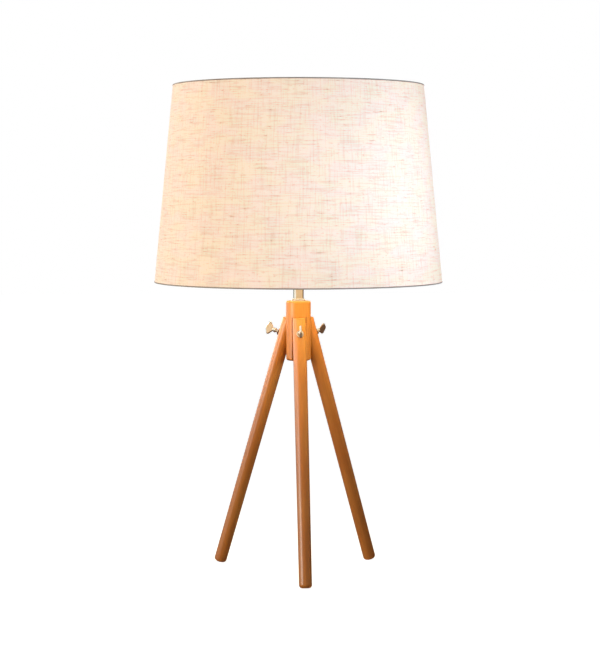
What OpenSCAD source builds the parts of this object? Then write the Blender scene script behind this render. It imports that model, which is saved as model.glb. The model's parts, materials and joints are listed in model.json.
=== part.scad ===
// Tripod table lamp. Three tapered dowel legs sit in the grooves of a turned hub,
// each pulled home by a wing screw. A chrome stem carries the lampholder and its bulb,
// and a conical linen shade is clamped on the lampholder by a ring.
// The floor is z = 0, the lamp's axis is Z, and one leg points to -Y.

/* [Stand] */
// Height of the hub's top above the floor
stand_h = 333; // [300:1:360]
// Diameter of the turned hub
hub_d = 30.3; // [29:0.1:34]
// Height of the hub
hub_h = 73; // [66:1:90]
// Rounding of the hub's top edge
hub_top_round = 2; // [1:0.1:4]
// Rounding of the hub's bottom edge
hub_bottom_round = 3; // [1:0.1:4]
// Bore through the hub for the cord and its bush
cord_bore_d = 8.9; // [8.6:0.1:9.4]

/* [Legs] */
// Lean of each leg from the vertical, in degrees
leg_tilt = 17.5; // [14:0.5:20]
// Leg diameter at the top
leg_top_d = 16.9; // [15:0.1:17.5]
// Leg diameter at the foot
foot_d = 15.4; // [13:0.1:16.5]
// Rounding of the foot's edge
foot_round = 3.6; // [2:0.1:5]
// Rounding of the leg's top edge
leg_top_round = 1.6; // [0.8:0.1:2]
// Depth of the leg grooves, from the hub's surface to their flat floor
groove_depth = 3.95; // [3:0.05:4]
// Wood left between the grooves' top and the hub's top
hub_crown = 19.8; // [19:0.1:24]
// Side play of a leg in its groove, on each side
groove_play = 0.45; // [0.2:0.05:0.6]
// Gap between a leg's end and the groove's shoulder
leg_end_play = 0.2; // [0.1:0.05:0.4]
// How far outside the groove's floor the leg's own axis lies at the leg's top
leg_axis_out = 0.4; // [0:0.1:1]

/* [Wing screws] */
// Distance of the screws' axes below the legs' top ends, where they cross the legs' axes
screw_drop = 21.2; // [19:0.1:23]
// Thread diameter of the wing screws
screw_d = 4; // [3.5:0.1:4.2]
// Pitch of their thread
screw_pitch = 0.7; // [0.5:0.05:0.8]
// Turns by which the left screw is backed off at rest
left_screw_turns = 5.5; // [0:0.5:5.5]
// Turn of the right screw's wing at rest, in degrees
right_wing_turn = 32; // [0:1:45]
// Diameter of the washers under the screws
washer_d = 8.6; // [7.5:0.1:9.5]
// Thickness of the washers
washer_t = 1.2; // [0.8:0.1:1.6]
// Depth of the flat spot milled on a leg for its washer
spot_depth = 0.3; // [0.2:0.05:0.6]
// Diameter of the screw's conical neck at the washer
neck_foot_d = 6.4; // [5.6:0.1:7]
// Diameter of the neck at the wing
neck_d = 4.6; // [4:0.1:5]
// Height of the neck
neck_h = 4; // [3.5:0.1:5]
// Tip-to-tip length of the wing
wing_l = 16.4; // [14:0.1:19]
// Height of the wing above the neck
wing_h = 10.4; // [9:0.1:12]
// Thickness of the wing
wing_t = 2.4; // [2:0.1:3]
// Outer diameter of the threaded inserts in the hub
insert_d = 5.6; // [5:0.1:6]
// Length of these inserts
insert_l = 5.5; // [4.5:0.1:5.6]

/* [Stem] */
// Diameter of the chrome sleeve
sleeve_d = 13; // [12.5:0.1:15]
// Height of the sleeve
sleeve_h = 15; // [12:0.5:40]
// Diameter of the collar on the hub's top
collar_d = 17; // [16:0.1:22]
// Thickness of the collar
collar_t = 3; // [2.5:0.1:4]
// Outer diameter of the threaded nipple that holds hub, stem and lampholder together
nipple_d = 10; // [9.5:0.1:10.2]
// Bore of the nipple
nipple_bore_d = 7.2; // [6.8:0.1:7.5]
// Outer diameter of the nipple's insert in the hub
nipple_insert_d = 13.6; // [13:0.1:15]
// Length of that insert
nipple_insert_l = 17; // [14:0.5:18]
// Bore of the cord bush in the hub's bottom
bush_bore_d = 6; // [5.5:0.1:6.4]
// Diameter of the bush's flange
bush_flange_d = 12.5; // [11.5:0.1:14]
// Length of the bush's spigot
bush_l = 9; // [6:0.5:12]

/* [Lampholder] */
// Outer diameter of the threaded skirt
skirt_d = 39.6; // [39:0.1:41]
// Height of the skirt
skirt_h = 30; // [27:0.5:36]
// Diameter of the skirt's shoulder that carries the shade
shoulder_d = 47; // [45:0.5:52]
// Thickness of the shoulder
shoulder_t = 3; // [2:0.1:4]
// Height of the lower cap
holder_cap_h = 26; // [25:0.5:32]
// Height of the insulating core below the skirt's foot
core_low_h = 9; // [8.5:0.5:10]
// Height of the core above it
core_high_h = 9; // [7:0.5:12]
// Wall of the cap and of the skirt
holder_wall = 2.4; // [2:0.1:3]
// Diameter of the ring nut that clamps the shade
shade_ring_d = 53; // [50:0.5:58]
// Height of the ring nut
shade_ring_h = 8; // [6:0.5:10]
// Finger notches round the ring nut
shade_ring_notches = 20; // [12:2:28]
// Play of the ring nut on the skirt's thread
thread_play = 0.08; // [0.05:0.01:0.1]

/* [Bulb] */
// Diameter of the bulb's glass
bulb_d = 60; // [45:1:66]
// Length of the bulb from its contact to its top
bulb_l = 107; // [100:1:120]
// Diameter of the bulb's screw shell
bulb_shell_d = 26.2; // [26:0.1:26.4]
// Height of the screw shell
bulb_shell_h = 18; // [16:0.5:20]
// Height of the insulator between shell and contact
bulb_insulator_h = 5.5; // [4.5:0.1:6.5]
// Thickness of the glass
bulb_glass_t = 1; // [0.8:0.1:1.4]

/* [Shade] */
// Diameter of the shade at its lower rim
shade_bottom_d = 350; // [300:1:380]
// Diameter of the shade at its upper rim
shade_top_d = 303; // [260:1:340]
// Height of the shade
shade_h = 238.5; // [180:1:300]
// Depth of the centre ring's underside above the lower rim
fitter_rise = 24; // [20:0.5:40]
// Thickness of the fabric
fabric_t = 0.5; // [0.4:0.05:0.8]
// Thickness of the stiff liner
liner_t = 0.5; // [0.4:0.05:1]
// Diameter of the rim wires and the arms
wire_d = 3; // [2.5:0.1:4]
// Thickness of the rim tape
tape_t = 0.4; // [0.3:0.05:0.6]
// Height of the tape on the outside of the shade
tape_lap = 1.6; // [1:0.1:4]
// Diameter of the hole in the centre ring
fitter_hole_d = 42; // [41.5:0.1:43]
// Width of the centre ring
fitter_w = 6; // [5:0.5:8]
// Thickness of the centre ring
fitter_t = 2; // [1.5:0.1:3]
// Number of arms
arms = 3; // [3:1:4]

/* [Hidden] */
$fn = 72;
hull_fn = 32;
eps = 0.01;

// Clearances of fits and of seated pieces
fit_play = 0.05;
loose_play = 0.3;
glue_t = 0.05;

// Places of the legs round the axis, in degrees
FRONT = 0;
RIGHT = 120;
LEFT = 240;

// Hub and legs
hub_r = hub_d / 2;
hub_z = stand_h - hub_h;
floor_r = hub_r - groove_depth;
groove_w = leg_top_d + 2 * groove_play;
shoulder_z = stand_h - hub_crown;
leg_top_z = shoulder_z - leg_end_play;
leg_axis_top = floor_r + leg_axis_out;
foot_reach = leg_axis_top + leg_top_z * tan(leg_tilt);
foot_r = foot_d / 2;
foot_lift = foot_round * (1 - cos(leg_tilt)) + (foot_r - foot_round) * sin(leg_tilt);
foot_s = foot_lift / cos(leg_tilt);
leg_top_s = leg_top_z / cos(leg_tilt);
function leg_r(s) = foot_r + (leg_top_d / 2 - foot_r) * (s - foot_s) / (leg_top_s - foot_s);

// Wing screws: t runs outward along a screw's axis, from the seat of its washer
screw_s = (leg_top_z - screw_drop) / cos(leg_tilt);
screw_seat = leg_r(screw_s) - spot_depth;
screw_axis_out = foot_reach - screw_s * sin(leg_tilt);
leg_flat_t = -screw_seat - (screw_axis_out - floor_r) / cos(leg_tilt);
insert_top_t = leg_flat_t - insert_d / 2 * tan(leg_tilt) - 0.05;
insert_end_t = insert_top_t - insert_l;
screw_tip_t = insert_end_t + 0.3;
left_screw_out = left_screw_turns * screw_pitch;

// Stem
collar_z = stand_h;
sleeve_z = collar_z + collar_t;
holder_z = sleeve_z + sleeve_h;
nipple_r = nipple_d / 2;
nut_h = 3;
nut_across_flats = 14;
cap_floor_t = 6;
nut_z = holder_z + cap_floor_t;
nipple_z = stand_h - nipple_insert_l + 1;
nipple_top = nut_z + nut_h;
bush_flange_t = 1.2;
bush_r = cord_bore_d / 2 - fit_play;

// Lampholder
skirt_r = skirt_d / 2;
skirt_z = holder_z + holder_cap_h;
ring_seat_z = skirt_z + shoulder_t;
core_flange_t = 3;
socket_drop = 2;
core_z = skirt_z - core_low_h;
core_floor_z = skirt_z - socket_drop;
core_top_z = skirt_z + core_high_h;
core_flange_r = skirt_r - holder_wall;
core_low_r = core_flange_r - 1.6;
skirt_bore_r = core_flange_r - 0.6;
socket_wall = 0.5;
socket_bore_r = bulb_shell_d / 2 + thread_play;
socket_r = socket_bore_r + socket_wall;
contact_h = 3;
terminal_size = 5.4;
terminal_x = 9;
terminal_screw_r = 1.4;

// Bulb
bulb_z = core_floor_z + contact_h;
bulb_tip_h = 1.5;
insulator_z = bulb_z + bulb_tip_h;
bulb_shell_z = insulator_z + bulb_insulator_h;
bulb_neck_z = bulb_shell_z + bulb_shell_h;
bulb_centre_z = bulb_z + bulb_l - bulb_d / 2;

// Shade
shade_z = ring_seat_z - fitter_rise;
shade_top_z = shade_z + shade_h;
wire_r = wire_d / 2;
shade_slope = (shade_bottom_d - shade_top_d) / 2 / shade_h;
function shade_r(z) = shade_bottom_d / 2 - shade_slope * (z - shade_z);
skin_t = fabric_t + glue_t + liner_t;
low_wire_z = shade_z + tape_t + glue_t + wire_r;
top_wire_z = shade_top_z - tape_t - glue_t - wire_r;
tape_inner_h = tape_t + wire_d + 2;
function wire_ring_r(z) = shade_r(z) - skin_t - wire_r - 0.2;
fitter_r = fitter_hole_d / 2 + fitter_w;
arm_z = ring_seat_z + fitter_t / 2;
arm_run = wire_ring_r(low_wire_z) - fitter_r;
arm_fall = arm_z - low_wire_z;

// Turns its children so that their +X points out along a leg.
module spoke(place) {
    rotate([0, 0, place - 90]) children();
}

// A leg's own frame: its axis is Z, and it meets the floor's level at the origin.
module leg_frame(place) {
    spoke(place) translate([foot_reach, 0, 0]) rotate([0, -leg_tilt, 0]) children();
}

// A wing screw's frame: Z runs outward along the screw, and the washer's seat is z = 0.
module screw_frame(place) {
    leg_frame(place) translate([screw_seat, 0, screw_s]) rotate([0, 90, 0]) children();
}

// Half section of a column with rounded edges, for revolving.
module column_section(r, h, low_round, top_round) {
    polygon([[0, 0], [r - low_round, 0], [r - low_round, low_round], [r, low_round],
        [r, h - top_round], [r - top_round, h - top_round], [r - top_round, h], [0, h]]);
    translate([r - low_round, low_round]) circle(low_round);
    translate([r - top_round, h - top_round]) circle(top_round);
}

module tube(r, bore_r, h) {
    difference() {
        cylinder(r = r, h = h);
        translate([0, 0, -1]) cylinder(r = bore_r, h = h + 2);
    }
}

module hub() {
    color("sandybrown") difference() {
        translate([0, 0, hub_z])
            rotate_extrude() column_section(hub_r, hub_h, hub_bottom_round, hub_top_round);
        translate([0, 0, hub_z - 1]) cylinder(d = cord_bore_d, h = hub_h + 2);
        translate([0, 0, stand_h - nipple_insert_l])
            cylinder(r = nipple_insert_d / 2 + fit_play, h = nipple_insert_l + 1);
        for (place = [FRONT, RIGHT, LEFT]) {
            spoke(place) translate([floor_r, -groove_w / 2, hub_z - 1])
                cube([hub_r, groove_w, shoulder_z - hub_z + 1]);
            screw_frame(place) translate([0, 0, insert_end_t - fit_play])
                cylinder(r = insert_d / 2 + fit_play, h = insert_l + 3);
        }
    }
}

// Tapered dowel with a rounded foot, from the floor up.
module dowel() {
    length = leg_top_s + leg_top_d - foot_s;
    end_r = leg_r(leg_top_s + leg_top_d);
    translate([0, 0, foot_s]) rotate_extrude() {
        polygon([[0, 0], [foot_r - foot_round, 0], [foot_r - foot_round, foot_round],
            [foot_r, foot_round], [end_r, length], [0, length]]);
        translate([foot_r - foot_round, foot_round]) circle(foot_round);
    }
}

// What a leg's top is trimmed to: level, with its outer edge rounded.
module leg_top_trim() {
    lean = leg_tilt + 4;
    depth = 1.2 * leg_top_d;
    edge_r = leg_top_d / 2 / cos(leg_tilt);
    centre = edge_r - leg_top_round / cos(lean) + leg_top_round * tan(lean);
    translate([leg_axis_top, 0, leg_top_z]) rotate_extrude() {
        polygon([[0, 0], [centre, 0], [centre, -leg_top_round],
            [centre + leg_top_round * cos(lean), leg_top_round * (sin(lean) - 1)],
            [edge_r + depth * tan(lean), -depth], [0, -depth]]);
        translate([centre, -leg_top_round]) circle(leg_top_round);
    }
    translate([0, -hub_d, -1]) cube([2 * foot_reach, 2 * hub_d, leg_top_z - depth + 1 + eps]);
}

module leg(place) {
    color("peru") difference() {
        intersection() {
            leg_frame(place) dowel();
            spoke(place) leg_top_trim();
        }
        spoke(place) translate([floor_r - hub_d, -hub_d / 2, hub_z])
            cube([hub_d, hub_d, stand_h - hub_z]);
        screw_frame(place) {
            cylinder(r = washer_d / 2 + 0.2, h = 2 * spot_depth + 1);
            translate([0, 0, leg_flat_t - leg_top_d / 2])
                cylinder(r = screw_d / 2 + loose_play, h = leg_top_d - leg_flat_t);
        }
    }
}

module leg_inserts() {
    color("gold") for (place = [FRONT, RIGHT, LEFT])
        screw_frame(place) translate([0, 0, insert_end_t])
            tube(insert_d / 2, screw_d / 2 + fit_play, insert_l);
}

module washer(place) {
    color("silver") screw_frame(place) difference() {
        cylinder(d = washer_d, h = washer_t);
        translate([0, 0, -1]) cylinder(r = screw_d / 2 + 2 * fit_play, h = washer_t + 2);
    }
}

// Outline of the wing, drawn in by inset: a lobe to each side of the neck, with a tip and a crown.
module wing_outline(inset) {
    tip_r = 2.2;
    crown_r = wing_h * 0.42;
    for (side = [-1, 1]) hull() {
        translate([side * 0.3, 0.4]) circle(neck_d / 2 - 0.5 - inset);
        translate([side * (wing_l / 2 - tip_r), wing_h * 0.56]) circle(tip_r - inset);
        translate([side * 0.3, wing_h - crown_r]) circle(crown_r - inset);
    }
}

// The wing, with a fully rounded edge.
module wing() {
    minkowski() {
        rotate([90, 0, 0]) linear_extrude(eps, center = true)
            wing_outline(wing_t / 2, $fn = hull_fn);
        sphere(d = wing_t - eps, $fn = 12);
    }
}

// The screw points inward from its washer; out is how far it is backed off, turn is its wing's turn.
module wing_screw(place, out, turn) {
    color("silver") screw_frame(place) translate([0, 0, washer_t + out]) rotate([0, 0, turn]) {
        cylinder(r1 = neck_foot_d / 2, r2 = neck_d / 2, h = neck_h);
        translate([0, 0, screw_tip_t - washer_t])
            cylinder(d = screw_d, h = washer_t - screw_tip_t + neck_h / 2);
        translate([0, 0, neck_h]) wing();
    }
}

module nipple_insert() {
    color("gold") translate([0, 0, stand_h - nipple_insert_l])
        tube(nipple_insert_d / 2, nipple_r + fit_play, nipple_insert_l);
}

module nipple() {
    color("lightgray") translate([0, 0, nipple_z])
        tube(nipple_r, nipple_bore_d / 2, nipple_top - nipple_z);
}

module nipple_nut() {
    color("lightgray") translate([0, 0, nut_z]) difference() {
        cylinder(d = nut_across_flats / cos(30), h = nut_h, $fn = 6);
        translate([0, 0, -1]) cylinder(r = nipple_r + fit_play, h = nut_h + 2);
    }
}

module cord_bush() {
    color("dimgray") translate([0, 0, hub_z]) difference() {
        union() {
            translate([0, 0, -bush_flange_t]) cylinder(d = bush_flange_d, h = bush_flange_t);
            translate([0, 0, -eps]) cylinder(r = bush_r, h = bush_l + eps);
        }
        translate([0, 0, -bush_flange_t - 1]) cylinder(d = bush_bore_d, h = bush_l + bush_flange_t + 2);
    }
}

// Domed collar at the stem's foot.
module stem_collar() {
    rise = 0.8;
    bore_r = nipple_r + 2 * fit_play;
    color("silver") translate([0, 0, collar_z]) rotate_extrude()
        polygon([[bore_r, 0], [collar_d / 2, 0], [collar_d / 2, rise],
            [sleeve_d / 2 + 1.2, collar_t - 0.2], [sleeve_d / 2 + 0.6, collar_t], [bore_r, collar_t]]);
}

module stem_sleeve() {
    color("silver") translate([0, 0, sleeve_z]) tube(sleeve_d / 2, nipple_r + 2 * fit_play, sleeve_h);
}

// The lampholder's lower shell: a narrow foot that swells to the skirt's width.
module holder_cap() {
    cap_foot_r = sleeve_d / 2 + 2.5;
    swell_z = 16;
    bore_r = nipple_r + 2 * fit_play;
    wall_r = core_low_r + loose_play;
    color("white") translate([0, 0, holder_z]) rotate_extrude() difference() {
        polygon([[bore_r, 0], [cap_foot_r, 0], [cap_foot_r + 1, 1], [cap_foot_r + 1, 4],
            [skirt_r - 4, swell_z - 3], [skirt_r - 1, swell_z], [skirt_r, swell_z + 3],
            [skirt_r, holder_cap_h], [bore_r, holder_cap_h]]);
        translate([0, holder_cap_h - core_flange_t]) square([core_flange_r + 0.2, core_flange_t + 1]);
        polygon([[0, cap_floor_t], [cap_foot_r, cap_floor_t], [cap_foot_r + 5, swell_z - 3],
            [wall_r, swell_z - 1], [wall_r, holder_cap_h], [0, holder_cap_h]]);
    }
}

// Insulating core, clamped by its flange between cap and skirt.
module holder_core() {
    upper_r = skirt_bore_r - 0.2;
    wire_hole_r = 1.2;
    color("ivory") difference() {
        union() {
            translate([0, 0, core_z]) cylinder(r = core_low_r, h = skirt_z - core_z);
            translate([0, 0, skirt_z - core_flange_t]) cylinder(r = core_flange_r, h = core_flange_t);
            translate([0, 0, skirt_z - eps]) cylinder(r = upper_r, h = core_top_z - skirt_z + eps);
        }
        translate([0, 0, core_floor_z]) cylinder(r = socket_r + fit_play, h = core_top_z - core_floor_z + 1);
        for (side = [-1, 1]) translate([side * terminal_x, 0, core_z - 1])
            cylinder(r = wire_hole_r, h = core_floor_z - core_z + 2);
    }
}

module holder_skirt() {
    color("white") translate([0, 0, skirt_z]) difference() {
        union() {
            cylinder(d = shoulder_d, h = shoulder_t);
            cylinder(r = skirt_r, h = skirt_h);
        }
        translate([0, 0, -1]) cylinder(r = skirt_bore_r, h = skirt_h + 2);
    }
}

module socket_shell() {
    color("gold") translate([0, 0, core_floor_z])
        tube(socket_r, socket_bore_r, bulb_neck_z - core_floor_z - 1);
}

// Spring tongue under the bulb's contact: a foot on the core and a raised pad.
module centre_contact() {
    pad_t = 0.6;
    color("gold") translate([0, 0, core_floor_z]) {
        translate([-2.5, -2, 0]) cube([5, 4, pad_t]);
        translate([-2.5, -2, 0]) cube([pad_t, 4, contact_h]);
        translate([-2.5, -2, contact_h - pad_t]) cube([5, 4, pad_t]);
    }
}

module terminals() {
    color("gold") for (side = [0, 180]) rotate([0, 0, side]) difference() {
        translate([terminal_x - terminal_size / 2, -terminal_size / 2, core_z - terminal_size])
            cube(terminal_size);
        translate([terminal_x, 0, core_z - terminal_size / 2]) rotate([0, 90, 0])
            cylinder(r = terminal_screw_r + fit_play, h = terminal_size);
    }
}

module terminal_screws() {
    head_r = 2.2;
    head_t = 1.2;
    color("silver") for (side = [0, 180])
        rotate([0, 0, side]) translate([terminal_x, 0, core_z - terminal_size / 2]) rotate([0, 90, 0]) {
            translate([0, 0, 0.4]) cylinder(r = terminal_screw_r, h = terminal_size / 2 - 0.4 + eps);
            translate([0, 0, terminal_size / 2]) cylinder(r = head_r, h = head_t);
        }
}

module bulb_contact() {
    color("silver") translate([0, 0, bulb_z]) cylinder(r = 4.4, h = bulb_tip_h);
}

module bulb_insulator() {
    color("dimgray") translate([0, 0, insulator_z])
        cylinder(r1 = 5.2, r2 = bulb_shell_d / 2 - 0.8, h = bulb_insulator_h);
}

module bulb_shell() {
    color("silver") translate([0, 0, bulb_shell_z])
        tube(bulb_shell_d / 2, bulb_shell_d / 2 - 0.6, bulb_shell_h);
}

// Half section of the bulb: a ball and the cone that leads tangent from it to the neck.
module bulb_section(inset) {
    r = bulb_d / 2 - inset;
    neck_r = bulb_shell_d / 2 - inset;
    drop = bulb_centre_z - bulb_neck_z;
    half_angle = atan2(drop, neck_r) - acos(r / norm([neck_r, drop]));
    steps = 36;
    ball = [for (i = [0 : steps]) let (a = -half_angle + (90 + half_angle) * i / steps)
        [r * cos(a), bulb_centre_z + r * sin(a)]];
    polygon(concat([[0, bulb_neck_z - inset], [neck_r, bulb_neck_z - inset], [neck_r, bulb_neck_z]], ball));
}

module bulb_glass() {
    color("lightyellow") rotate_extrude() difference() {
        bulb_section(0);
        bulb_section(bulb_glass_t);
    }
}

module shade_ring() {
    gap = 0.1;
    notch_r = 1.6;
    rim_t = 2;
    grip_r = shade_ring_d / 2 - 1.5;
    color("white") translate([0, 0, ring_seat_z + fitter_t + gap]) difference() {
        union() {
            cylinder(d = shade_ring_d, h = rim_t);
            cylinder(r = grip_r, h = shade_ring_h);
        }
        translate([0, 0, -1]) cylinder(r = skirt_r + thread_play, h = shade_ring_h + 2);
        for (i = [0 : shade_ring_notches - 1])
            rotate([0, 0, i * 360 / shade_ring_notches]) translate([grip_r + notch_r / 2, 0, rim_t])
                cylinder(r = notch_r, h = shade_ring_h, $fn = 24);
    }
}

// Centre ring of the shade's frame.
module shade_fitter() {
    color("whitesmoke") translate([0, 0, ring_seat_z])
        tube(fitter_r, fitter_hole_d / 2, fitter_t);
}

// Round bars from inside the centre ring's edge out to the middle of the lower wire.
module arm_bars(r) {
    start = 2;
    for (i = [0 : arms - 1])
        rotate([0, 0, 360 / arms * i - 90]) translate([fitter_r, 0, arm_z])
            rotate([0, 90 + atan2(arm_fall, arm_run), 0]) translate([0, 0, -start])
                cylinder(r = r, h = norm([arm_run, arm_fall]) + start);
}

// A wire ring that lies in the shade at the height z.
module wire_ring(z, r) {
    translate([0, 0, z]) rotate_extrude() translate([wire_ring_r(z), 0]) circle(r);
}

// The arms, coped to the centre ring and to the lower wire they are welded to.
module shade_arms() {
    color("whitesmoke") difference() {
        arm_bars(wire_r);
        translate([0, 0, arm_z - wire_d]) cylinder(r = fitter_r + glue_t, h = 2 * wire_d);
        wire_ring(low_wire_z, wire_r + glue_t);
    }
}

module shade_bottom_wire() {
    color("whitesmoke") wire_ring(low_wire_z, wire_r);
}

module shade_top_wire() {
    color("whitesmoke") wire_ring(top_wire_z, wire_r);
}

// A conical wall of the shade, between two depths measured in from the fabric's face.
module shade_wall(outer, inner) {
    low = shade_z + tape_t;
    high = shade_top_z - tape_t;
    rotate_extrude($fn = 144)
        polygon([[shade_r(low) - inner, low], [shade_r(low) - outer, low],
            [shade_r(high) - outer, high], [shade_r(high) - inner, high]]);
}

module shade_liner() {
    color("white") shade_wall(fabric_t + glue_t, skin_t);
}

module shade_fabric() {
    color("antiquewhite") shade_wall(0, fabric_t);
}

// The tape that folds round a rim and its wire: edge is the rim's height, and up is +1 or -1,
// towards the shade's inside.
module rim_tape(edge, up) {
    seat = edge + up * tape_t;
    lap = edge + up * tape_lap;
    top = edge + up * tape_inner_h;
    inner = skin_t + wire_d + 0.4;
    rotate_extrude($fn = 144)
        polygon([[shade_r(edge) - inner - tape_t, edge], [shade_r(edge) + tape_t, edge],
            [shade_r(lap) + tape_t, lap], [shade_r(lap) + glue_t, lap], [shade_r(seat) + glue_t, seat],
            [shade_r(seat) - inner, seat], [shade_r(top) - inner, top],
            [shade_r(top) - inner - tape_t, top]]);
}

// The lower tape is slit for the arms.
module shade_bottom_tape() {
    color("tan") difference() {
        rim_tape(shade_z, 1);
        arm_bars(wire_r + glue_t);
    }
}

module shade_top_tape() {
    color("tan") rim_tape(shade_top_z, -1);
}

hub();
leg(FRONT);  // leg_front
leg(RIGHT);  // leg_right
leg(LEFT);  // leg_left
leg_inserts();
nipple_insert();
nipple();
nipple_nut();
cord_bush();
stem_collar();
stem_sleeve();
holder_cap();
holder_core();
holder_skirt();
socket_shell();
centre_contact();
terminals();
terminal_screws();
washer(FRONT);  // washer_front
washer(RIGHT);  // washer_right
washer(LEFT);  // washer_left
wing_screw(FRONT, 0, 0);  // wing_screw_front
wing_screw(RIGHT, 0, right_wing_turn);  // wing_screw_right
wing_screw(LEFT, left_screw_out, 0);  // wing_screw_left
bulb_contact();
bulb_insulator();
bulb_shell();
bulb_glass();
shade_ring();
shade_fitter();
shade_arms();
shade_bottom_wire();
shade_top_wire();
shade_liner();
shade_fabric();
shade_bottom_tape();
shade_top_tape();
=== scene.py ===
"""Looks of a tripod table lamp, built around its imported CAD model.

Everything is in metres in the lamp's own frame: the floor is z = 0, the lamp's axis is Z,
and the front leg points to -Y. Round the axis, angle 0 is the front and pi the back.
"""
import json
import math

import bmesh
import bpy
from mathutils import Matrix, Vector, noise


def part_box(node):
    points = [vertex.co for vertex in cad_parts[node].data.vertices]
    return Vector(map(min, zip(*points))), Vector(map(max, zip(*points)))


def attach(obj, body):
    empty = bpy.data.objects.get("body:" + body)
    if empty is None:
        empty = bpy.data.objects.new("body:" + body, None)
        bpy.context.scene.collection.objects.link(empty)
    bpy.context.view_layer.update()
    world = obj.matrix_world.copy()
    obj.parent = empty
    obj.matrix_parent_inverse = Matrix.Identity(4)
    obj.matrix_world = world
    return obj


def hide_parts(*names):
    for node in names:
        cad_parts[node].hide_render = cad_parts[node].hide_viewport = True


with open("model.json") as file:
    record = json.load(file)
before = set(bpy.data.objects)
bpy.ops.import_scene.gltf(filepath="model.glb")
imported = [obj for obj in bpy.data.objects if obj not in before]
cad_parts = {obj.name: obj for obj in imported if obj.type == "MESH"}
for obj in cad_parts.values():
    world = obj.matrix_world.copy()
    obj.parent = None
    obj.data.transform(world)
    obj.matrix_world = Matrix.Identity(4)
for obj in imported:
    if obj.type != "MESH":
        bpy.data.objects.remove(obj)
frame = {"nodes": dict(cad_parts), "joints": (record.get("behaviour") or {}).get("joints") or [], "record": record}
NODES = frame["nodes"]
JOINTS = {joint["name"]: joint for joint in frame["joints"]}
SLOT_OF = {part["node"]: part["material_slot"] for part in frame["record"]["subparts"]}
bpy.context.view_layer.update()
MM = 0.001
UP = Vector((0, 0, 1))
PLACES = ("front", "right", "left")

# The photograph's camera
IMAGE_LONG_SIDE = 660
FOCAL_PX = 1781
CAMERA_DISTANCE = 2.172
CAMERA_HEIGHT = 0.465
CAMERA_AZIMUTH = math.radians(-4.4)
CAMERA_PITCH = math.radians(-4.42)
AXIS_LEFT_OF_CENTRE_PX = 1.6

# The studio: how much the white world lights, and what the floor adds where it is seen
AMBIENT = 0.13
FLOOR_SIZE = 12
FLOOR_COLOUR = (0.5, 0.5, 0.5)
FLOOR_LIFT = 0.94

# Cards round the lamp: first and last azimuth in degrees, lower and upper edge, colour, strength
CARD_RADIUS = 1.8
CARD_STEP = 8
CARDS = {
    "grey_card": (-174, -110, 0, 0.32, (0.42, 0.41, 0.36), 1),
    "sheen_card": (-174, -94, 0.32, 1.9, (1.0, 0.97, 0.92), 4),
    "cream_card": (-110, -62, 0, 0.8, (1.0, 0.94, 0.78), 1),
    "tan_card": (-62, 98, 0, 2.2, (0.86, 0.56, 0.29), 1),
    "brown_card": (98, 162, 0, 2.2, (0.20, 0.09, 0.04), 1),
}
GROUND_CARD_COLOUR = (0.15, 0.075, 0.04)


# ---------------------------------------------------------------- camera, floor and light

def make_camera():
    data = bpy.data.cameras.new("camera")
    data.sensor_width = 36
    data.lens = FOCAL_PX / IMAGE_LONG_SIDE * data.sensor_width
    camera = bpy.data.objects.new("camera", data)
    bpy.context.scene.collection.objects.link(camera)
    camera.location = (CAMERA_DISTANCE * math.sin(CAMERA_AZIMUTH),
                       -CAMERA_DISTANCE * math.cos(CAMERA_AZIMUTH), CAMERA_HEIGHT)
    heading = -CAMERA_AZIMUTH + math.atan(AXIS_LEFT_OF_CENTRE_PX / FOCAL_PX)
    forward = Vector((math.sin(heading) * math.cos(CAMERA_PITCH),
                      math.cos(heading) * math.cos(CAMERA_PITCH), math.sin(CAMERA_PITCH)))
    camera.rotation_euler = forward.to_track_quat("-Z", "Y").to_euler()
    bpy.context.scene.camera = camera


def seen_rays(nodes, links):
    """1 for camera, glossy and transmission rays, and 0 for the rays that carry light."""
    path = nodes.new("ShaderNodeLightPath")
    total = path.outputs["Is Camera Ray"]
    for name in ("Is Glossy Ray", "Is Transmission Ray"):
        larger = nodes.new("ShaderNodeMath")
        larger.operation = "MAXIMUM"
        links.new(total, larger.inputs[0])
        links.new(path.outputs[name], larger.inputs[1])
        total = larger.outputs[0]
    return total


def make_world():
    """A white surrounding that lights the lamp at the level of AMBIENT."""
    world = bpy.data.worlds.new("studio")
    bpy.context.scene.world = world
    world.use_nodes = True
    nodes, links = world.node_tree.nodes, world.node_tree.links
    strength = nodes.new("ShaderNodeMapRange")
    strength.inputs["To Min"].default_value = AMBIENT
    strength.inputs["To Max"].default_value = 1
    links.new(seen_rays(nodes, links), strength.inputs["Value"])
    background = nodes["Background"]
    background.inputs["Color"].default_value = (1, 1, 1, 1)
    links.new(strength.outputs["Result"], background.inputs["Strength"])


def bare_material(name):
    """A material with nothing but its output, and its nodes and links."""
    material = bpy.data.materials.new(name)
    material.use_nodes = True
    nodes, links = material.node_tree.nodes, material.node_tree.links
    nodes.remove(nodes["Principled BSDF"])
    return material, nodes, links


def make_floor():
    """A white floor that keeps the lamp's shadow."""
    bpy.ops.mesh.primitive_plane_add(size=FLOOR_SIZE)
    floor = bpy.context.object
    floor.name = "floor"
    material, nodes, links = bare_material("floor")
    diffuse = nodes.new("ShaderNodeBsdfDiffuse")
    diffuse.inputs["Color"].default_value = (*FLOOR_COLOUR, 1)
    glow = nodes.new("ShaderNodeEmission")
    strength = nodes.new("ShaderNodeMath")
    strength.operation = "MULTIPLY"
    strength.inputs[1].default_value = FLOOR_LIFT
    links.new(seen_rays(nodes, links), strength.inputs[0])
    links.new(strength.outputs[0], glow.inputs["Strength"])
    both = nodes.new("ShaderNodeAddShader")
    links.new(diffuse.outputs[0], both.inputs[0])
    links.new(glow.outputs[0], both.inputs[1])
    links.new(both.outputs[0], nodes["Material Output"].inputs["Surface"])
    floor.data.materials.append(material)


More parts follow.
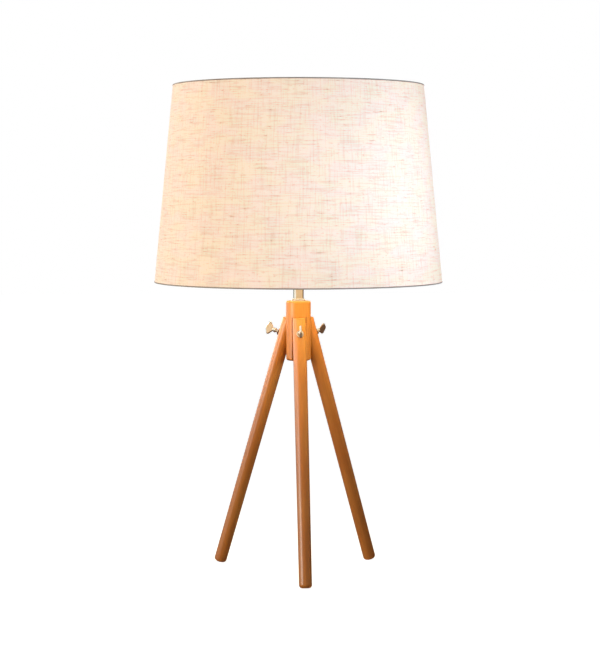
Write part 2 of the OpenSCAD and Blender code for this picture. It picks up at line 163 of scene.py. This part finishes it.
def mirror_card(name, points, faces, colour, strength=1):
    """A card of the studio that is seen in the lamp's gloss only, and lights nothing."""
    material, nodes, links = bare_material(name)
    glow = nodes.new("ShaderNodeEmission")
    glow.inputs["Color"].default_value = (*colour, 1)
    glow.inputs["Strength"].default_value = strength
    links.new(glow.outputs[0], nodes["Material Output"].inputs["Surface"])
    mesh = bpy.data.meshes.new(name)
    mesh.from_pydata(points, [], faces)
    mesh.materials.append(material)
    card = bpy.data.objects.new(name, mesh)
    bpy.context.scene.collection.objects.link(card)
    card.visible_camera = False
    card.visible_diffuse = False
    card.visible_transmission = False
    card.visible_volume_scatter = False
    card.visible_shadow = False


def make_cards():
    """Walls round the lamp: grey, cream and a bright sheen on its left, tan in front,
    brown on its right, and a ground."""
    for name, (start, end, low, high, colour, strength) in CARDS.items():
        angles = [math.radians(degrees) for degrees in range(start, end + 1, CARD_STEP)]
        wall = [(CARD_RADIUS * math.sin(a), -CARD_RADIUS * math.cos(a), z)
                for a in angles for z in (low, high)]
        faces = [(i, i + 2, i + 3, i + 1) for i in range(0, len(wall) - 2, 2)]
        mirror_card(name, wall, faces, colour, strength)
    ground = [(CARD_RADIUS * x, CARD_RADIUS * y, MM)
              for x, y in ((-1, -1), (1, -1), (1, 1), (-1, 1))]
    mirror_card("ground_card", ground, [(0, 1, 2, 3)], GROUND_CARD_COLOUR)


def area_light(name, place, target, *, size, watts, colour, spread=180):
    data = bpy.data.lights.new(name, "AREA")
    data.shape = "DISK"
    data.size = size
    data.energy = watts
    data.color = colour
    data.spread = math.radians(spread)
    light = bpy.data.objects.new(name, data)
    bpy.context.scene.collection.objects.link(light)
    light.location = place
    light.rotation_euler = (Vector(target) - Vector(place)).to_track_quat("-Z", "Y").to_euler()
    light.visible_camera = False
    return light


def bulb_light(watts, colour):
    """Light from inside the bulb, which its glass lets through."""
    low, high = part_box("bulb_glass")
    radius = (high.x - low.x) / 2
    data = bpy.data.lights.new("bulb_light", "POINT")
    data.energy = watts
    data.color = colour
    data.shadow_soft_size = radius * 0.9
    light = bpy.data.objects.new("bulb_light", data)
    bpy.context.scene.collection.objects.link(light)
    light.location = (0, 0, high.z - radius)
    light.visible_camera = False
    NODES["bulb_glass"].visible_shadow = False


def make_lights():
    """A key from the left, a cool wash on the shade's right, a glow under the shade, the bulb."""
    hub_low, hub_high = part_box("hub")
    shade_low, shade_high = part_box("shade_fabric")
    hub_middle = (0, 0, (hub_low.z + hub_high.z) / 2)
    shade_aim = (0, 0, 0.6 * shade_low.z + 0.4 * shade_high.z)
    area_light("key", (-1.95, -0.9, 0.5), hub_middle,
               size=0.8, watts=22, colour=(1.0, 0.97, 0.90))
    wash = area_light("shade_wash", (1.55, -1.45, 0.6), shade_aim,
                      size=0.25, watts=0.66, colour=(0.58, 0.77, 1.0), spread=20)
    glow = area_light("shade_glow", (0, 0, shade_low.z + 12 * MM), (0, 0, 0),
                      size=0.29, watts=0.8, colour=(1.0, 0.95, 0.24))
    for light in (wash, glow):
        light.visible_glossy = False
    bulb_light(1.0, (1.0, 0.74, 0.45))


# ---------------------------------------------------------------- materials

class Shader:
    """Builds one material's node tree; values are sockets or plain numbers."""

    def __init__(self, name):
        self.material = bpy.data.materials.new(name)
        self.material.use_nodes = True
        self.nodes = self.material.node_tree.nodes
        self.links = self.material.node_tree.links
        self.bsdf = self.nodes["Principled BSDF"]

    def put(self, socket, value):
        if isinstance(value, bpy.types.NodeSocket):
            self.links.new(value, socket)
        elif isinstance(value, tuple) and len(value) == 3 and socket.type == "RGBA":
            socket.default_value = (*value, 1)
        else:
            socket.default_value = value

    def set(self, **values):
        """Sets inputs of the surface shader, with _ for a space in their names."""
        for name, value in values.items():
            self.put(self.bsdf.inputs[name.replace("_", " ")], value)

    def math(self, operation, a, b=0.0, c=0.0):
        node = self.nodes.new("ShaderNodeMath")
        node.operation = operation
        for socket, value in zip(node.inputs, (a, b, c)):
            self.put(socket, value)
        return node.outputs[0]

    def weighted(self, *terms):
        """Sum of (value, weight) terms."""
        total = 0.0
        for value, weight in terms:
            total = self.math("MULTIPLY_ADD", value, weight, total)
        return total

    def sine(self, value, wavelength):
        """A sine wave between 0 and 1."""
        return self.math("MULTIPLY_ADD", self.wave(value, wavelength), 0.5, 0.5)

    def wave(self, value, wavelength):
        """A sine wave between -1 and 1."""
        return self.math("SINE", self.math("MULTIPLY", value, 2 * math.pi / wavelength))

    def step(self, value, low, high, to_low=0.0, to_high=1.0):
        """value between low and high as a smooth step between to_low and to_high."""
        node = self.nodes.new("ShaderNodeMapRange")
        node.interpolation_type = "SMOOTHSTEP"
        for name, number in zip(("Value", "From Min", "From Max", "To Min", "To Max"),
                                (value, low, high, to_low, to_high)):
            self.put(node.inputs[name], number)
        return node.outputs["Result"]

    def mix(self, factor, a, b):
        node = self.nodes.new("ShaderNodeMix")
        node.data_type = "RGBA"
        self.put(node.inputs[0], factor)
        self.put(node.inputs[6], a)
        self.put(node.inputs[7], b)
        return node.outputs[2]

    def point(self, rotation=(0, 0, 0)):
        """The surface point in millimetres, turned by rotation."""
        where = self.nodes.new("ShaderNodeTexCoord")
        turned = self.nodes.new("ShaderNodeMapping")
        turned.inputs["Rotation"].default_value = rotation
        turned.inputs["Scale"].default_value = (1 / MM,) * 3
        self.links.new(where.outputs["Object"], turned.inputs["Vector"])
        return turned.outputs["Vector"]

    def parts(self, vector):
        node = self.nodes.new("ShaderNodeSeparateXYZ")
        self.links.new(vector, node.inputs[0])
        return node.outputs[0], node.outputs[1], node.outputs[2]

    def flat_point(self, x, y):
        """The point (x, y, 0)."""
        node = self.nodes.new("ShaderNodeCombineXYZ")
        self.put(node.inputs[0], x)
        self.put(node.inputs[1], y)
        return node.outputs[0]

    def noise(self, vector, stretch, detail=2.0, rough=0.5):
        """Smooth noise from 0 to 1; stretch is its waves in a millimetre, each way."""
        scaled = self.nodes.new("ShaderNodeMapping")
        scaled.inputs["Scale"].default_value = stretch
        self.links.new(vector, scaled.inputs["Vector"])
        node = self.nodes.new("ShaderNodeTexNoise")
        node.inputs["Scale"].default_value = 1
        node.inputs["Detail"].default_value = detail
        node.inputs["Roughness"].default_value = rough
        self.links.new(scaled.outputs["Vector"], node.inputs["Vector"])
        return node.outputs["Fac"]

    def streaks(self, vector, stretch, low, high, detail=2.0, rough=0.5):
        """Noise as marks: nothing where it is under low, full where it is over high."""
        return self.step(self.noise(vector, stretch, detail, rough), low, high)

    def bump(self, height, depth_mm):
        node = self.nodes.new("ShaderNodeBump")
        node.inputs["Distance"].default_value = depth_mm * MM
        node.inputs["Strength"].default_value = 1
        self.put(node.inputs["Height"], height)
        self.links.new(node.outputs["Normal"], self.bsdf.inputs["Normal"])


def wood(name, axis, pith):
    """Lacquered beech, its grain along axis; pith is where the tree's middle lay, in mm."""
    rings_per_mm = 0.42
    ring_waver_mm = 9.0
    pale, warm, late_wood = (0.53, 0.150, 0.022), (0.61, 0.205, 0.036), (0.34, 0.085, 0.012)
    dark_fibre, dark_fleck = (0.32, 0.078, 0.011), (0.18, 0.045, 0.01)
    s = Shader(name)
    turn = Vector(axis).rotation_difference(UP).to_euler()
    p = s.point(tuple(turn))
    x, y, _ = s.parts(p)
    from_pith = s.math("SQRT", s.math("ADD", s.math("POWER", s.math("ADD", x, pith[0]), 2.0),
                                      s.math("POWER", s.math("ADD", y, pith[1]), 2.0)))
    waver = s.noise(p, (0.05, 0.05, 0.008))
    rings = s.math("MULTIPLY", s.weighted((from_pith, 1), (waver, ring_waver_mm)), rings_per_mm)
    late = s.step(s.math("FRACT", rings), 0.35, 0.95)
    fibre = s.noise(p, (1.6, 1.6, 0.035), 4, 0.65)
    fleck = s.streaks(p, (1.9, 1.9, 0.33), 0.66, 0.74)
    cloud = s.streaks(p, (0.045, 0.045, 0.012), 0.3, 0.7)
    body = s.mix(cloud, pale, warm)
    ringed = s.mix(s.math("MULTIPLY", late, 0.22), body, late_wood)
    grained = s.mix(s.step(fibre, 0.36, 0.72, 0.0, 0.26), ringed, dark_fibre)
    s.set(Base_Color=s.mix(s.math("MULTIPLY", fleck, 0.3), grained, dark_fleck),
          Roughness=s.step(fibre, 0.3, 0.7, 0.34, 0.44),
          Coat_Weight=0.6, Coat_Roughness=0.3)
    s.bump(s.weighted((fibre, 1), (fleck, -0.5)), 0.018)
    return s.material


def metal(name, colour, dull_colour, rough, brushed_mm):
    """Plated or turned metal; brushed_mm is the depth of its fine lines round the axis."""
    s = Shader(name)
    p = s.point()
    smear = s.noise(p, (0.12, 0.12, 0.12), 3)
    s.set(Base_Color=s.mix(s.step(smear, 0.4, 0.7), colour, dull_colour),
          Metallic=1.0, Roughness=s.step(smear, 0.3, 0.8, rough, rough * 1.6 + 0.02))
    s.bump(s.noise(p, (0.3, 0.3, 9.0)), brushed_mm)
    return s.material


def plastic(name, colour, cloud_colour, rough, grain_mm=0.5, depth_mm=0.006, **more):
    """Moulded plastic, paint or fired ceramic with a fine grain and faint clouds."""
    s = Shader(name)
    p = s.point()
    cloud = s.streaks(p, (0.04, 0.04, 0.04), 0.35, 0.7, 3)
    grain = s.noise(p, (1 / grain_mm,) * 3)
    s.set(Base_Color=s.mix(cloud, colour, cloud_colour),
          Roughness=s.step(grain, 0.3, 0.7, rough - 0.04, rough + 0.05), **more)
    s.bump(grain, depth_mm)
    return s.material


def round_the_shade(s):
    """(distance round the shade, height) in millimetres, cut at the back."""
    mean_radius_share = 0.93
    low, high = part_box("shade_fabric")
    x, y, z = s.parts(s.point())
    angle = s.math("ARCTAN2", x, s.math("MULTIPLY", y, -1.0))
    return s.math("MULTIPLY", angle, (high.x - low.x) / 2 / MM * mean_radius_share), z


def linen():
    """Natural linen on a white liner, lit from inside: threads, slubs and clouds."""
    warp_pitch_mm, weft_pitch_mm = 0.86, 0.94
    plain, plain_cloud, dark_thread = (0.78, 0.70, 0.62), (0.79, 0.72, 0.61), (0.48, 0.36, 0.07)
    lit, lit_cloud, lit_thread = (0.94, 0.535, 0.36), (0.94, 0.57, 0.32), (0.14, 0.09, 0.0)
    s = Shader("linen")
    arc, z = round_the_shade(s)
    cloth = s.flat_point(arc, z)
    weft = s.streaks(cloth, (0.03, 0.5, 1), 0.45, 0.70, 3, 0.6)
    slub = s.streaks(cloth, (0.06, 0.6, 1), 0.59, 0.70, 2, 0.55)
    knot = s.streaks(cloth, (0.25, 0.5, 1), 0.58, 0.72)
    warp = s.streaks(cloth, (0.5, 0.028, 1), 0.46, 0.70, 3, 0.6)
    patch = s.streaks(cloth, (0.03, 0.035, 1), 0.42, 0.68)
    cloud = s.streaks(cloth, (0.03, 0.05, 1), 0.35, 0.65)
    over, under = s.wave(arc, warp_pitch_mm), s.wave(z, weft_pitch_mm)
    weave = s.math("MULTIPLY_ADD", s.math("MULTIPLY", over, under), 0.5, 0.5)
    patchy_slub = s.math("MULTIPLY", slub, s.math("MULTIPLY_ADD", patch, 0.55, 0.45))
    dark = s.weighted((weft, 0.38), (patchy_slub, 0.66), (warp, 0.28), (knot, 0.4), (weave, 0.05))
    s.set(Base_Color=s.mix(s.math("MULTIPLY", dark, 0.45), s.mix(cloud, plain, plain_cloud),
                           dark_thread),
          Roughness=0.85, Sheen_Weight=0.15, Sheen_Roughness=0.5,
          Emission_Color=s.mix(dark, s.mix(cloud, lit, lit_cloud), lit_thread),
          Emission_Strength=0.56)
    s.bump(s.weighted((weave, 0.5), (slub, 0.8), (warp, 0.3)), 0.12)
    return s.material


def rim_tape():
    """Narrow ribbed tape, grey-brown."""
    rib_pitch_mm = 0.8
    s = Shader("rim_tape")
    arc, z = round_the_shade(s)
    worn = s.streaks(s.flat_point(arc, z), (0.06, 0.5, 1), 0.35, 0.7, 3)
    s.set(Base_Color=s.mix(worn, (0.38, 0.29, 0.22), (0.50, 0.41, 0.335)),
          Roughness=0.8, Sheen_Weight=0.1)
    s.bump(s.sine(arc, rib_pitch_mm), 0.08)
    return s.material


def liner():
    """Stiff white liner with the cloth's weave pressed faintly into it."""
    s = Shader("shade_liner")
    arc, z = round_the_shade(s)
    press = s.noise(s.flat_point(arc, z), (0.5, 0.5, 1), 3)
    s.set(Base_Color=s.mix(press, (0.86, 0.84, 0.80), (0.80, 0.77, 0.72)), Roughness=0.55)
    s.bump(press, 0.03)
    return s.material


def opal_glass():
    """Opal bulb that glows, a little less towards its neck."""
    s = Shader("opal_glass")
    low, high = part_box("bulb_glass")
    _, _, z = s.parts(s.point())
    rise = s.step(z, low.z / MM, high.z / MM, 0.55, 1.0)
    s.set(Base_Color=(0.93, 0.90, 0.84), Roughness=0.16, Coat_Weight=0.4, Coat_Roughness=0.05,
          Emission_Color=s.mix(rise, (0.9, 0.5, 0.25), (1.0, 0.85, 0.60)),
          Emission_Strength=0.55)
    return s.material


def make_materials():
    """Material of each slot, apart from the beech."""
    return {
        "chrome": metal("chrome", (0.88, 0.875, 0.86), (0.83, 0.82, 0.80), 0.05, 0.0005),
        "brass": metal("brass", (0.80, 0.57, 0.24), (0.70, 0.47, 0.19), 0.22, 0.002),
        "zinc_steel": metal("zinc_steel", (0.68, 0.69, 0.71), (0.60, 0.62, 0.66), 0.28, 0.002),
        "nickel": metal("nickel", (0.74, 0.72, 0.68), (0.66, 0.63, 0.58), 0.16, 0.001),
        "black_plastic": plastic("black_plastic", (0.022, 0.022, 0.023), (0.03, 0.03, 0.03), 0.45),
        "white_plastic": plastic("white_plastic", (0.84, 0.83, 0.79), (0.80, 0.785, 0.74), 0.38),
        "steatite": plastic("steatite", (0.80, 0.76, 0.66), (0.74, 0.69, 0.58), 0.6, 0.3, 0.01),
        "white_wire": plastic("white_wire", (0.84, 0.83, 0.80), (0.80, 0.79, 0.75), 0.34, 1.2,
                              0.02, Coat_Weight=0.3, Coat_Roughness=0.15),
        "linen": linen(),
        "rim_tape": rim_tape(),
        "shade_liner": liner(),
        "opal_glass": opal_glass(),
    }


def leg_axis(place):
    """Direction of a leg, square to its wing screw and in the same upright plane."""
    outward = Vector(JOINTS[f"{place}_screw_turn"]["axis"])
    sideways = UP.cross(outward).normalized()
    return outward.cross(sideways)


def dress_cad(materials):
    """Gives each CAD node its material; each wooden piece has its own grain."""
    grain = {"hub": wood("beech_hub", UP, (38, 22))}
    for place, pith in zip(PLACES, ((30, -46), (-52, 18), (14, 41))):
        grain[f"leg_{place}"] = wood(f"beech_leg_{place}", leg_axis(place), pith)
    for name, node in NODES.items():
        material = grain.get(name) or materials[SLOT_OF[name]]
        node.data.materials.clear()
        node.data.materials.append(material)


# ---------------------------------------------------------------- meshes

def corners(node):
    """Corner points of a CAD node's mesh."""
    return [vertex.co for vertex in NODES[node].data.vertices]


def off_axis(point):
    """Distance of a point from the lamp's axis."""
    return math.hypot(point.x, point.y)


def radii_at(node, height):
    """Distances from the lamp's axis of a node's corners at that height."""
    near = 0.2 * MM
    return [off_axis(point) for point in corners(node) if abs(point.z - height) < near]


def spaced(low, high, count):
    return [low + (high - low) * i / (count - 1) for i in range(count)]


def around(count):
    """Angles of one turn in count steps."""
    return [2 * math.pi * i / count for i in range(count)]


def quarter(steps):
    """Angles between 0 and a quarter turn, without its ends."""
    return [math.pi / 2 * k / steps for k in range(1, steps)]


def finish_mesh(name, shape, node, materials, body, sharp_degrees=40):
    """Makes bmesh shape a piece that stands for a CAD node and rides on its body."""
    bmesh.ops.remove_doubles(shape, verts=shape.verts, dist=1e-7)
    bmesh.ops.recalc_face_normals(shape, faces=shape.faces)
    mesh = bpy.data.meshes.new(name)
    shape.to_mesh(mesh)
    shape.free()
    mesh.shade_smooth()
    mesh.set_sharp_from_angle(angle=math.radians(sharp_degrees))
    mesh.materials.append(materials[SLOT_OF[node]])
    piece = bpy.data.objects.new(name, mesh)
    bpy.context.scene.collection.objects.link(piece)
    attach(piece, body)
    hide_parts(node)
    return piece


def revolve(profile, angles, place=None, closed=True):
    """A profile of (radius, height) points turned round the axis; closed joins its two ends.

    place(angle, index, radius, height) may change a point's radius and height.
    """
    shape = bmesh.new()
    rings = []
    for angle in angles:
        ring = []
        for index, (radius, height) in enumerate(profile):
            if place:
                radius, height = place(angle, index, radius, height)
            corner = (radius * math.sin(angle), -radius * math.cos(angle), height)
            ring.append(shape.verts.new(corner))
        rings.append(ring)
    count = len(profile)
    for ring, following in zip(rings, rings[1:] + rings[:1]):
        for i in range(count if closed else count - 1):
            j = (i + 1) % count
            shape.faces.new((ring[i], following[i], following[j], ring[j]))
    return shape


def make_shade_cloth(materials):
    """The linen skin: gently uneven, with its lapped seam up the back."""
    low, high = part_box("shade_fabric")
    low_r, high_r = max(radii_at("shade_fabric", low.z)), max(radii_at("shade_fabric", high.z))
    thick = 0.5 * MM
    unevenness = 0.16 * MM
    ripple_depth = 0.03 * MM
    seam_start = math.pi - 0.07
    seam_edge = 0.004
    rows = spaced(0, 1, 41)
    profile = [(low_r + (high_r - low_r) * t, low.z + (high.z - low.z) * t) for t in rows]
    profile += [(radius - thick, height) for radius, height in reversed(profile)]
    columns = around(360) + [seam_start, seam_start + seam_edge]
    columns += [math.pi + seam_edge * k for k in range(1, 4)]

    def place(angle, index, radius, height):
        if index >= len(rows):
            return radius, height
        wave = noise.noise(Vector((math.sin(angle) * 2.2, math.cos(angle) * 2.2, height * 9)))
        ripple = noise.noise(Vector((angle * 60, height * 420, 3)))
        radius += unevenness * (0.5 + 0.5 * wave) + ripple_depth * ripple
        into_lap = (angle - seam_start) / seam_edge
        past_lap = (math.pi + 2 * seam_edge - angle) / seam_edge
        return radius + thick * max(0, min(1, into_lap, past_lap)), height

    shape = revolve(profile, sorted(columns), place)
    cloth = finish_mesh("shade_cloth", shape, "shade_fabric", materials, "shade", 30)
    slant = math.hypot(low_r - high_r, high.z - low.z)
    flat_r = low_r * slant / (low_r - high_r)
    half_turn = math.pi * low_r / flat_r
    flat = (2 * flat_r * math.sin(half_turn), flat_r - (flat_r - slant) * math.cos(half_turn))
    return cloth, flat, math.pi * (low_r + high_r) * slant


def make_tape(name, node, materials):
    """Tape folded over a rim: a flat lap outside, a rounded edge, a bulge over the wire."""
    low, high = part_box(node)
    into = 1 if node == "shade_bottom_tape" else -1
    rim, inside = (low.z, high.z) if into > 0 else (high.z, low.z)
    rim_radii = radii_at(node, rim)
    rim_r, inner_r = max(rim_radii), min(rim_radii)
    lap = max(abs(point.z - rim) for point in corners(node) if off_axis(point) > rim_r - MM)
    lap_r = max(radii_at(node, rim + into * lap))
    slope = (lap_r - rim_r) / lap
    height = abs(inside - rim)
    thick = 0.4 * MM
    play = 0.05 * MM
    round_r = 0.9 * MM
    bulge_r = (rim_r - inner_r) / 2
    outside = [(lap_r, lap), (rim_r + slope * round_r, round_r)]
    edge = [(rim_r - round_r * (1 - math.cos(a)), round_r * (1 - math.sin(a)))
            for a in quarter(6)]
    fold = [(rim_r - round_r, 0), (inner_r + bulge_r, 0)]
    bulge = [(inner_r + bulge_r * (1 - math.sin(a)), bulge_r * (1 - math.cos(a)) * 1.1)
             for a in quarter(8)]
    back = [(inner_r, bulge_r * 1.15), (inner_r + slope * height, height),
            (inner_r + slope * height + thick, height), (inner_r + thick, bulge_r * 1.2),
            (inner_r + bulge_r * 0.45, bulge_r * 0.5), (inner_r + bulge_r, thick),
            (rim_r - thick - play, thick), (lap_r - thick + play, lap)]
    placed = [(radius, rim + into * z) for radius, z in outside + edge + fold + bulge + back]
    return finish_mesh(name, revolve(placed, around(288)), node, materials, "shade", 60)


def thread_height(kind, turn):
    """Height of a thread from 0 at its root to 1 at its crest, at that share of a turn."""
    ramp = 1 - abs(2 * (turn % 1) - 1)
    if kind == "sharp":
        return max(0, min(1, (ramp - 0.1) / 0.8))
    if kind == "square":
        return max(0, min(1, (ramp - 0.3) / 0.25))
    return 0.5 - 0.5 * math.cos(math.pi * ramp)


def threaded_wall(low, high, crest_r, depth, pitch, kind, rows_per_turn, run_out):
    """Heights of a thread's rows, and place() for revolve() that cuts the thread into them."""
    rows = max(2, round((high - low) / pitch * rows_per_turn))
    heights = spaced(low, high, rows)

    def place(angle, index, radius, height):
        if index >= rows:
            return radius, height
        ease = max(0, min(1, (height - low) / run_out, (high - height) / run_out))
        turn = height / pitch - angle / (2 * math.pi)
        return crest_r - depth * (1 - ease * thread_height(kind, turn)), height

    return heights, place


def make_skirt(materials):
    """The lampholder's skirt with its coarse moulded thread and its shoulder."""
    low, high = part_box("holder_skirt")
    points = corners("holder_skirt")
    shoulder_r = high.x
    crest_r = max(radii_at("holder_skirt", high.z))
    shoulder_z = max(p.z for p in points if off_axis(p) > shoulder_r - 0.3 * MM)
    bore_r = min(off_axis(p) for p in points)
    depth = 0.8 * MM
    edge = 0.5 * MM
    heights, place = threaded_wall(shoulder_z, high.z, crest_r, depth, 2.5 * MM, "square", 8,
                                   1.5 * MM)
    profile = [(crest_r, z) for z in heights]
    profile += [(crest_r - depth - edge, high.z), (bore_r + edge, high.z), (bore_r, high.z - edge),
                (bore_r, low.z), (shoulder_r - edge, low.z), (shoulder_r, low.z + edge),
                (shoulder_r, shoulder_z - edge), (shoulder_r - edge, shoulder_z)]
    shape = revolve(profile, around(96), place)
    return finish_mesh("threaded_skirt", shape, "holder_skirt", materials, "stand")


def make_bulb_shell(materials):
    """The bulb's rolled screw shell."""
    low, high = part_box("bulb_shell")
    crest_r = high.x
    bore_r = min(off_axis(p) for p in corners("bulb_shell"))
    pitch = 25.4 / 7 * MM
    depth = 1.0 * MM
    heights, place = threaded_wall(low.z, high.z, crest_r, depth, pitch, "round", 12, 2 * MM)
    profile = [(crest_r, z) for z in heights] + [(bore_r - depth, z) for z in (high.z, low.z)]
    shape = revolve(profile, around(72), place)
    return finish_mesh("screw_shell", shape, "bulb_shell", materials, "bulb")


def screw_frame(place):
    """Matrix of a wing screw's own frame: Z outward along it, from the seat of its washer."""
    joint = JOINTS[f"{place}_screw_turn"]
    outward = Vector(joint["axis"]).normalized()
    sideways = UP.cross(outward).normalized()
    down = sideways.cross(outward)
    axes = Matrix((down, sideways, outward)).transposed()
    return Matrix.Translation(joint["pos_m"]) @ axes.to_4x4()


def thread_shank(tip, top, radius):
    """A closed M4 thread along Z, from its chamfered tip to its run-out under the head."""
    pitch = 0.7 * MM
    depth = 0.4 * MM
    heights, cut = threaded_wall(tip, top, radius, depth, pitch, "sharp", 8, 0.8 * MM)
    rows = len(heights)

    def place(angle, index, _, height):
        if 0 < index <= rows:
            return cut(angle, index - 1, radius, height)
        return 0, height

    profile = [(0, tip)] + [(radius, z) for z in heights] + [(0, top)]
    return revolve(profile, around(40), place, closed=False)


def heights_along_screw(place, node):
    """Heights of a node's corners in a wing screw's own frame."""
    into_frame = screw_frame(place).inverted()
    return [(into_frame @ point).z for point in corners(node)]


def wing_head(place, head_z):
    """A wing screw's CAD head in the screw's own frame, cut off at head_z, its edges softened
    as in a casting. The softening works in millimetres."""
    voxel_mm = 0.22
    above_seat = 0.01 * MM
    head = bmesh.new()
    head.from_mesh(NODES[f"wing_screw_{place}"].data)
    head.transform(screw_frame(place).inverted())
    bmesh.ops.remove_doubles(head, verts=head.verts, dist=1e-6)
    cut = bmesh.ops.bisect_plane(head, geom=head.verts[:] + head.edges[:] + head.faces[:],
                                 plane_co=(0, 0, head_z + above_seat), plane_no=(0, 0, -1),
                                 clear_outer=True)
    edges = [e for e in cut["geom_cut"] if isinstance(e, bmesh.types.BMEdge)]
    bmesh.ops.holes_fill(head, edges=edges)
    head.transform(Matrix.Scale(1 / MM, 4))
    mesh = bpy.data.meshes.new("head")
    head.to_mesh(mesh)
    head.free()
    blank = bpy.data.objects.new("head", mesh)
    bpy.context.scene.collection.objects.link(blank)
    remesh = blank.modifiers.new("remesh", "REMESH")
    remesh.mode = "VOXEL"
    remesh.voxel_size = voxel_mm
    smooth = blank.modifiers.new("smooth", "SMOOTH")
    smooth.factor = 0.5
    smooth.iterations = 7
    bpy.context.view_layer.update()
    depsgraph = bpy.context.evaluated_depsgraph_get()
    worked = bpy.data.meshes.new_from_object(blank.evaluated_get(depsgraph))
    bpy.data.objects.remove(blank)
    worked.transform(Matrix.Scale(MM, 4))
    return worked


def make_wing_screw(place, materials):
    """Cast wing head, worked over from the CAD solid, on a cut thread."""
    node = f"wing_screw_{place}"
    washer_top = max(heights_along_screw(place, f"washer_{place}"))
    tip = min(heights_along_screw(place, node))
    tightened_tip = min(heights_along_screw("front", "wing_screw_front"))
    head_z = washer_top + tip - tightened_tip
    into_head = 0.6 * MM
    shank_r = 2 * MM
    shape = thread_shank(tip, head_z + into_head, shank_r)
    shape.from_mesh(wing_head(place, head_z))
    shape.transform(screw_frame(place))
    return finish_mesh(f"wing_{place}", shape, node, materials, f"screw_{place}", 50)


def make_pieces(materials):
    cloth, flat, area = make_shade_cloth(materials)
    tapes = [make_tape("tape_low", "shade_bottom_tape", materials),
             make_tape("tape_high", "shade_top_tape", materials)]
    make_skirt(materials)
    make_bulb_shell(materials)
    for place in PLACES:
        make_wing_screw(place, materials)


make_camera()
make_world()
make_floor()
make_cards()
make_lights()
MATERIALS = make_materials()
dress_cad(MATERIALS)
make_pieces(MATERIALS)
bpy.context.scene.view_settings.view_transform = "Standard"
